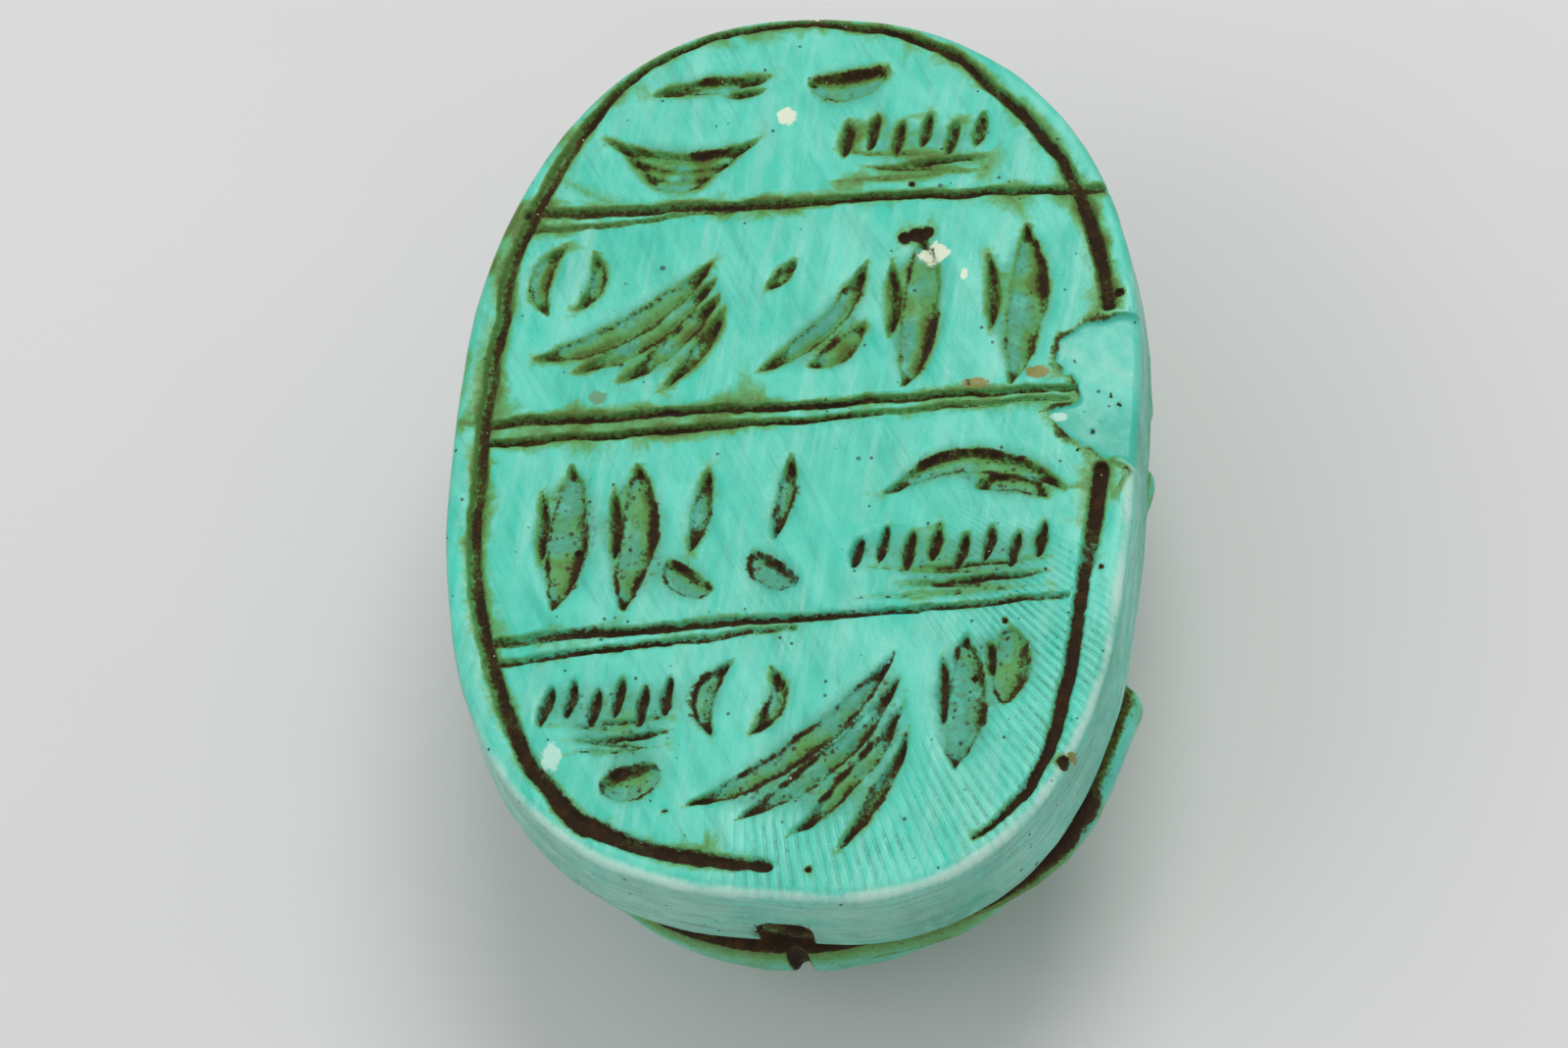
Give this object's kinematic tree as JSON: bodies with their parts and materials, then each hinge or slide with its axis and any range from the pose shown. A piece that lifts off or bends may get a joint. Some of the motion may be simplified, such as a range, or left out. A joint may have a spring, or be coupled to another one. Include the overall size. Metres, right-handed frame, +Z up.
{
  "type": "scarab amulet",
  "caption": "Large oval scarab amulet in glazed turquoise stone, with a beetle carved on its back, a lengthwise stringing hole and four rows of shallow strokes on its flat face.",
  "frame": {"origin": "middle of the bounding box, on the surface that the amulet lies on", "axes": "+Z up, out of the engraved face; +Y towards the beetle's head; +X to the right when the face is read with the head at the top"},
  "size_m": [0.042, 0.0608, 0.024],
  "materials": {
    "glaze": "satin turquoise glaze, worn pale at the rim, with dark brown soil in the cuts"
  },
  "bodies": {
    "root": {"scarab": "glaze"}
  },
  "joints": []
}
